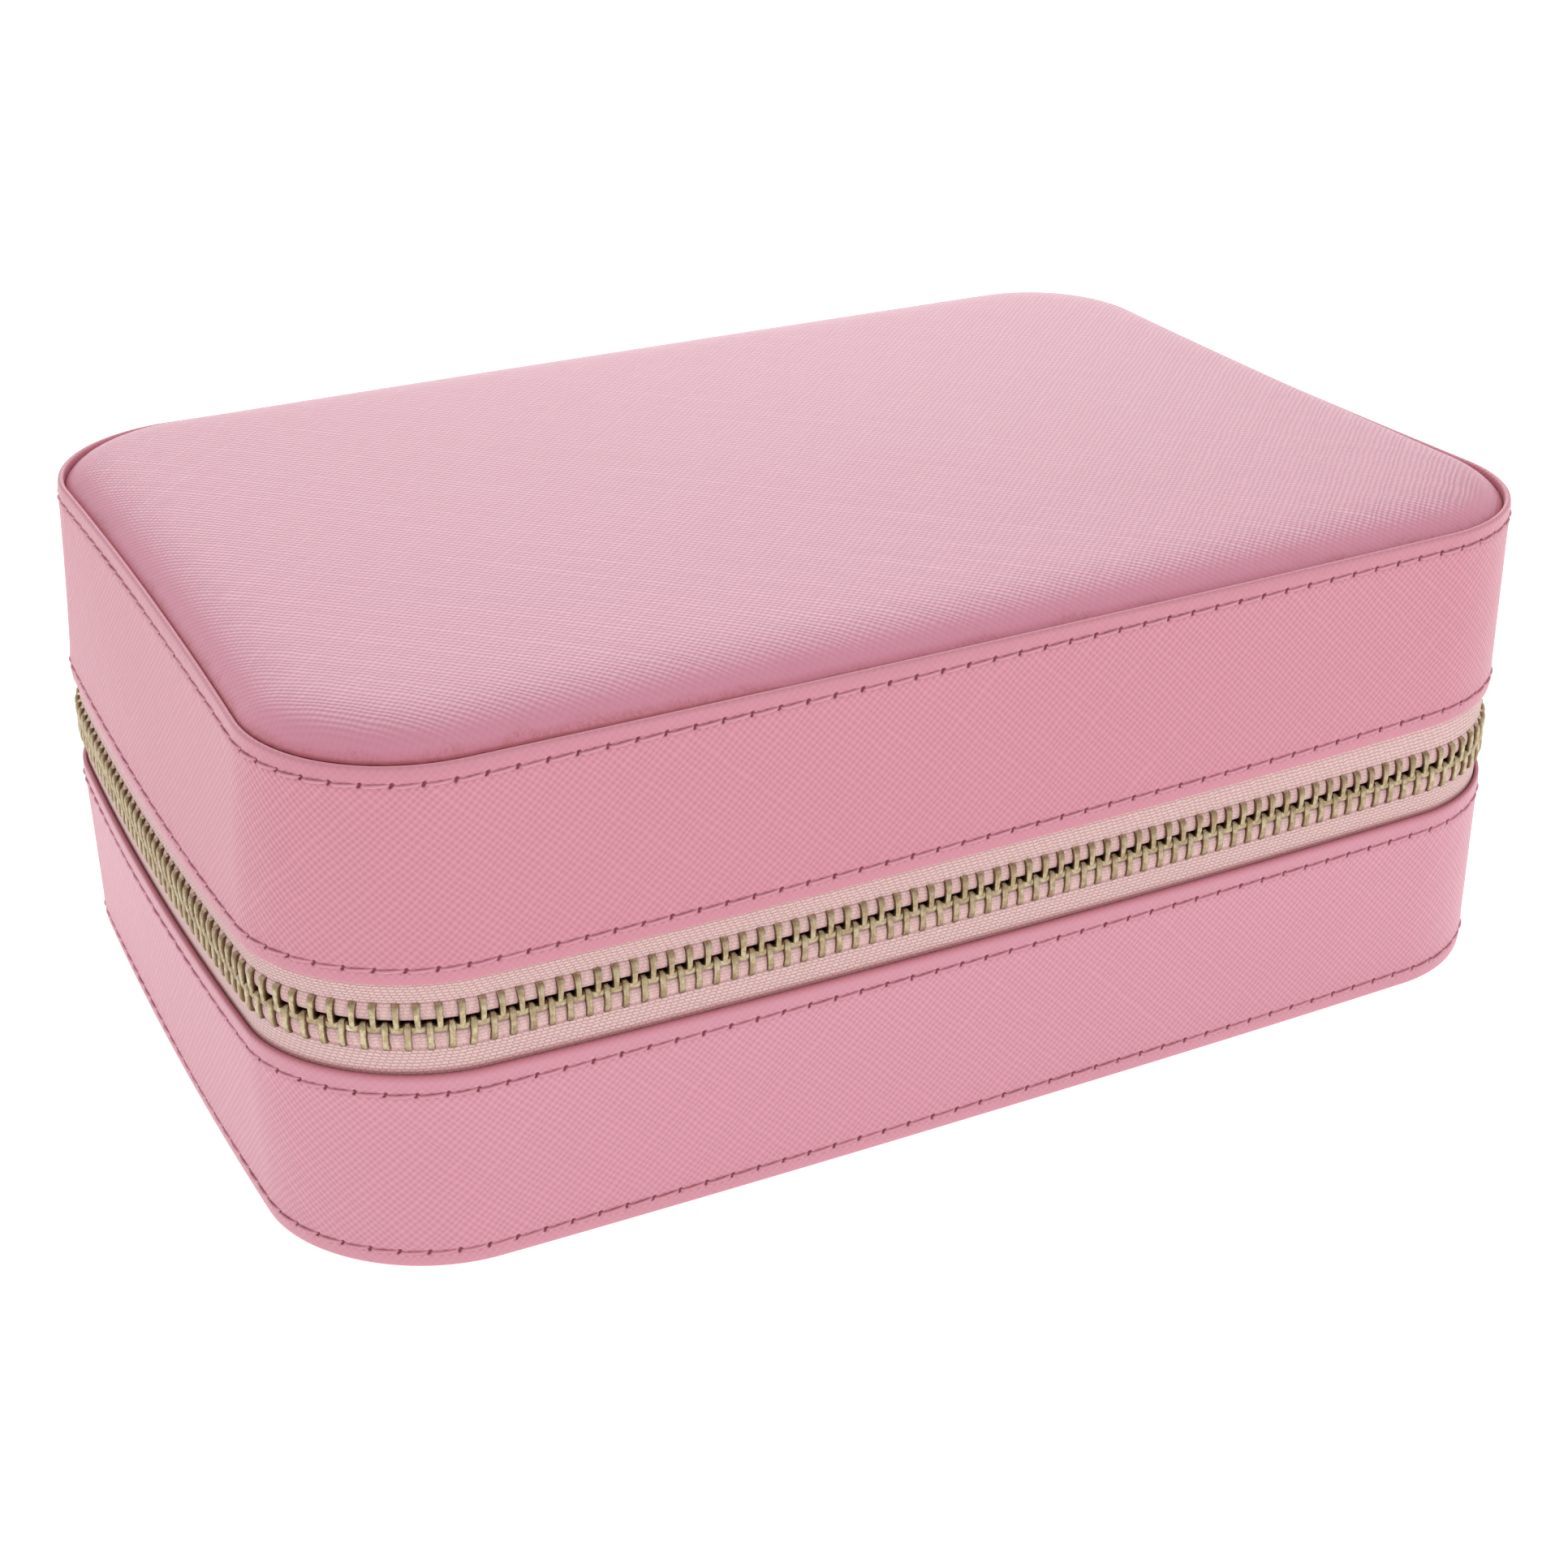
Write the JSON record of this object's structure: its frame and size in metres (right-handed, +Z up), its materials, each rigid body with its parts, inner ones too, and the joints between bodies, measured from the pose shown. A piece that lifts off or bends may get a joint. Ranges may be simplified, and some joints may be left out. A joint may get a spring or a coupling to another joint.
{
  "type": "makeup train case",
  "caption": "Small rounded zip-around makeup case in textured pink faux leather, with a domed padded lid, metal zip, dividers and a lid mirror.",
  "frame": {"origin": "centre of the flat underside, on the surface the case stands on", "axes": "+X along the long side, -Y towards the front, +Y towards the hinge, +Z up"},
  "size_m": [0.1846, 0.124, 0.071],
  "materials": {
    "shell_leather": "satin crosshatch-grained faux leather",
    "top_leather": "satin crosshatch-grained faux leather over foam",
    "frame_leather": "satin crosshatch-grained faux leather",
    "zip_tape": "woven polyester zip tape",
    "zip_metal": "antique brass, worn bright on the high spots",
    "board": "plain pressed board",
    "foam": "open-cell foam padding",
    "lining": "brushed satin lining",
    "divider": "brushed lining over foam board",
    "mirror_glass": "silvered glass"
  },
  "bodies": {
    "base": {"base_side_cover": "shell_leather", "base_floor_cover": "shell_leather", "base_floor_board": "board", "base_wall_board": "board", "base_wall_foam": "foam", "base_floor_pad": "lining", "base_wall_lining": "lining", "long_divider": "divider", "cross_divider_left": "divider", "cross_divider_right": "divider", "zip_tape_base": "zip_tape", "zip_teeth_base": "zip_metal", "hinge_strip": "shell_leather", "hinge_lining": "lining"},
    "lid": {"lid_side_cover": "shell_leather", "lid_wall_board": "board", "lid_wall_foam": "foam", "lid_top_board": "board", "lid_top_pad": "foam", "lid_top_cover": "top_leather", "lid_wall_lining": "lining", "lid_top_lining": "lining", "mirror": "mirror_glass", "mirror_frame": "frame_leather", "zip_tape_lid": "zip_tape", "zip_teeth_lid": "zip_metal"},
    "front_slider": {"slider_front": "zip_metal"},
    "rear_slider": {"slider_rear": "zip_metal"},
    "front_pull": {"pull_front": "zip_metal"},
    "rear_pull": {"pull_rear": "zip_metal"}
  },
  "joints": [
    {"name": "lid_hinge", "type": "hinge", "parent": "base", "child": "lid", "pos_m": [0, 0.0614, 0.0333], "axis": [-1, 0, 0], "range_deg": [0, 155], "deforming": ["hinge_strip", "hinge_lining"]},
    {"name": "front_slider_run", "type": "slide", "parent": "base", "child": "front_slider", "axis": [0, -1, 0], "range_m": [0, 0.028], "deforming": ["zip_teeth_base", "zip_teeth_lid"]},
    {"name": "rear_slider_run", "type": "slide", "parent": "base", "child": "rear_slider", "axis": [0, 1, 0], "range_m": [0, 0.028]},
    {"name": "front_pull_swing", "type": "hinge", "parent": "front_slider", "child": "front_pull", "pos_m": [0.093, -0.006, 0.0333], "axis": [0, -1, 0], "range_deg": [-2, 175]},
    {"name": "rear_pull_swing", "type": "hinge", "parent": "rear_slider", "child": "rear_pull", "pos_m": [0.093, 0.006, 0.0333], "axis": [0, -1, 0], "range_deg": [-2, 175]}
  ]
}
